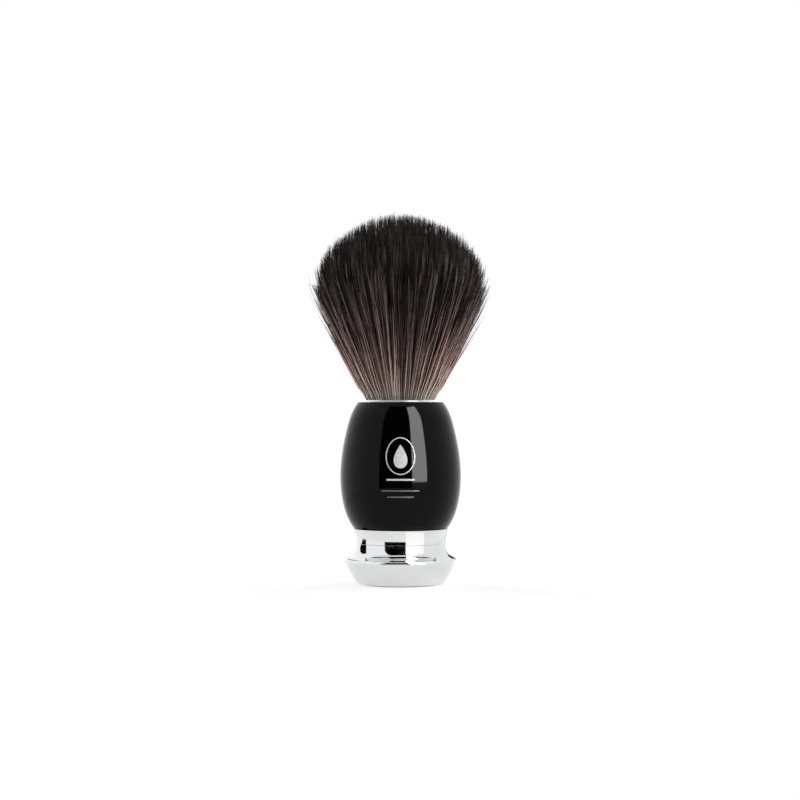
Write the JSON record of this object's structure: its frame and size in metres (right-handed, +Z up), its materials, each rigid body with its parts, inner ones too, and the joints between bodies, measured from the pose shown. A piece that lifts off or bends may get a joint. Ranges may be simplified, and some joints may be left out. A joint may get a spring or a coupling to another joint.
{
  "type": "shaving brush",
  "caption": "Shaving brush with a domed dark fibre knot that screws into a glossy black barrel handle on a weighted chrome foot.",
  "frame": {"origin": "centre of the base, on the surface that the brush stands on", "axes": "+Z up along the axis that the handle and the knot are turned about, from the foot to the fibre tips; +X to the right as seen from the front"},
  "size_m": [0.0522, 0.0522, 0.1095],
  "materials": {
    "foot_chrome": "polished",
    "black_resin": "gloss",
    "pale_plastic": "satin",
    "fibre": "satin",
    "thread": "matte",
    "clear_resin": "gloss",
    "plain_steel": "satin",
    "turned_brass": "satin",
    "black_rubber": "matte"
  },
  "bodies": {
    "handle": {"foot_shell": "foot_chrome", "base_pad": "black_rubber", "ballast": "plain_steel", "screw_washer": "plain_steel", "lock_washer": "plain_steel", "clamp_screw": "plain_steel", "foot_seal": "black_rubber", "foot_insert": "turned_brass", "barrel": "black_resin", "knot_bush": "turned_brass"},
    "knot_ring": {"knot_seal": "black_rubber"},
    "knot": {"knot_stud": "turned_brass", "knot_cup": "pale_plastic", "fibre_root": "fibre", "binding_thread": "thread", "potting_resin": "clear_resin"},
    "tuft_base": {"tuft_lower": "fibre"},
    "tuft_tips": {"tuft_upper": "fibre"}
  },
  "joints": [
    {"name": "knot_lift", "type": "slide", "parent": "handle", "child": "knot_ring", "axis": [0, 0, 1], "range_m": [0, 0.0075]},
    {"name": "knot_turn", "type": "hinge", "parent": "knot_ring", "child": "knot", "pos_m": [0, 0, 0.042], "axis": [0, 0, 1], "range_deg": [0, 2160]},
    {"name": "tuft_bend_side", "type": "hinge", "parent": "knot", "child": "tuft_base", "pos_m": [0, 0, 0.062], "axis": [0, 1, 0], "range_deg": [-18, 18], "stiffness_Nm_per_rad": 0.3},
    {"name": "tuft_bend_front", "type": "hinge", "parent": "tuft_base", "child": "tuft_tips", "pos_m": [0, 0, 0.075], "axis": [1, 0, 0], "range_deg": [-20, 20], "stiffness_Nm_per_rad": 0.2}
  ],
  "couplings": [
    {"joint": "knot_turn", "follows": "knot_lift", "rad_per_m": 5026.5}
  ]
}
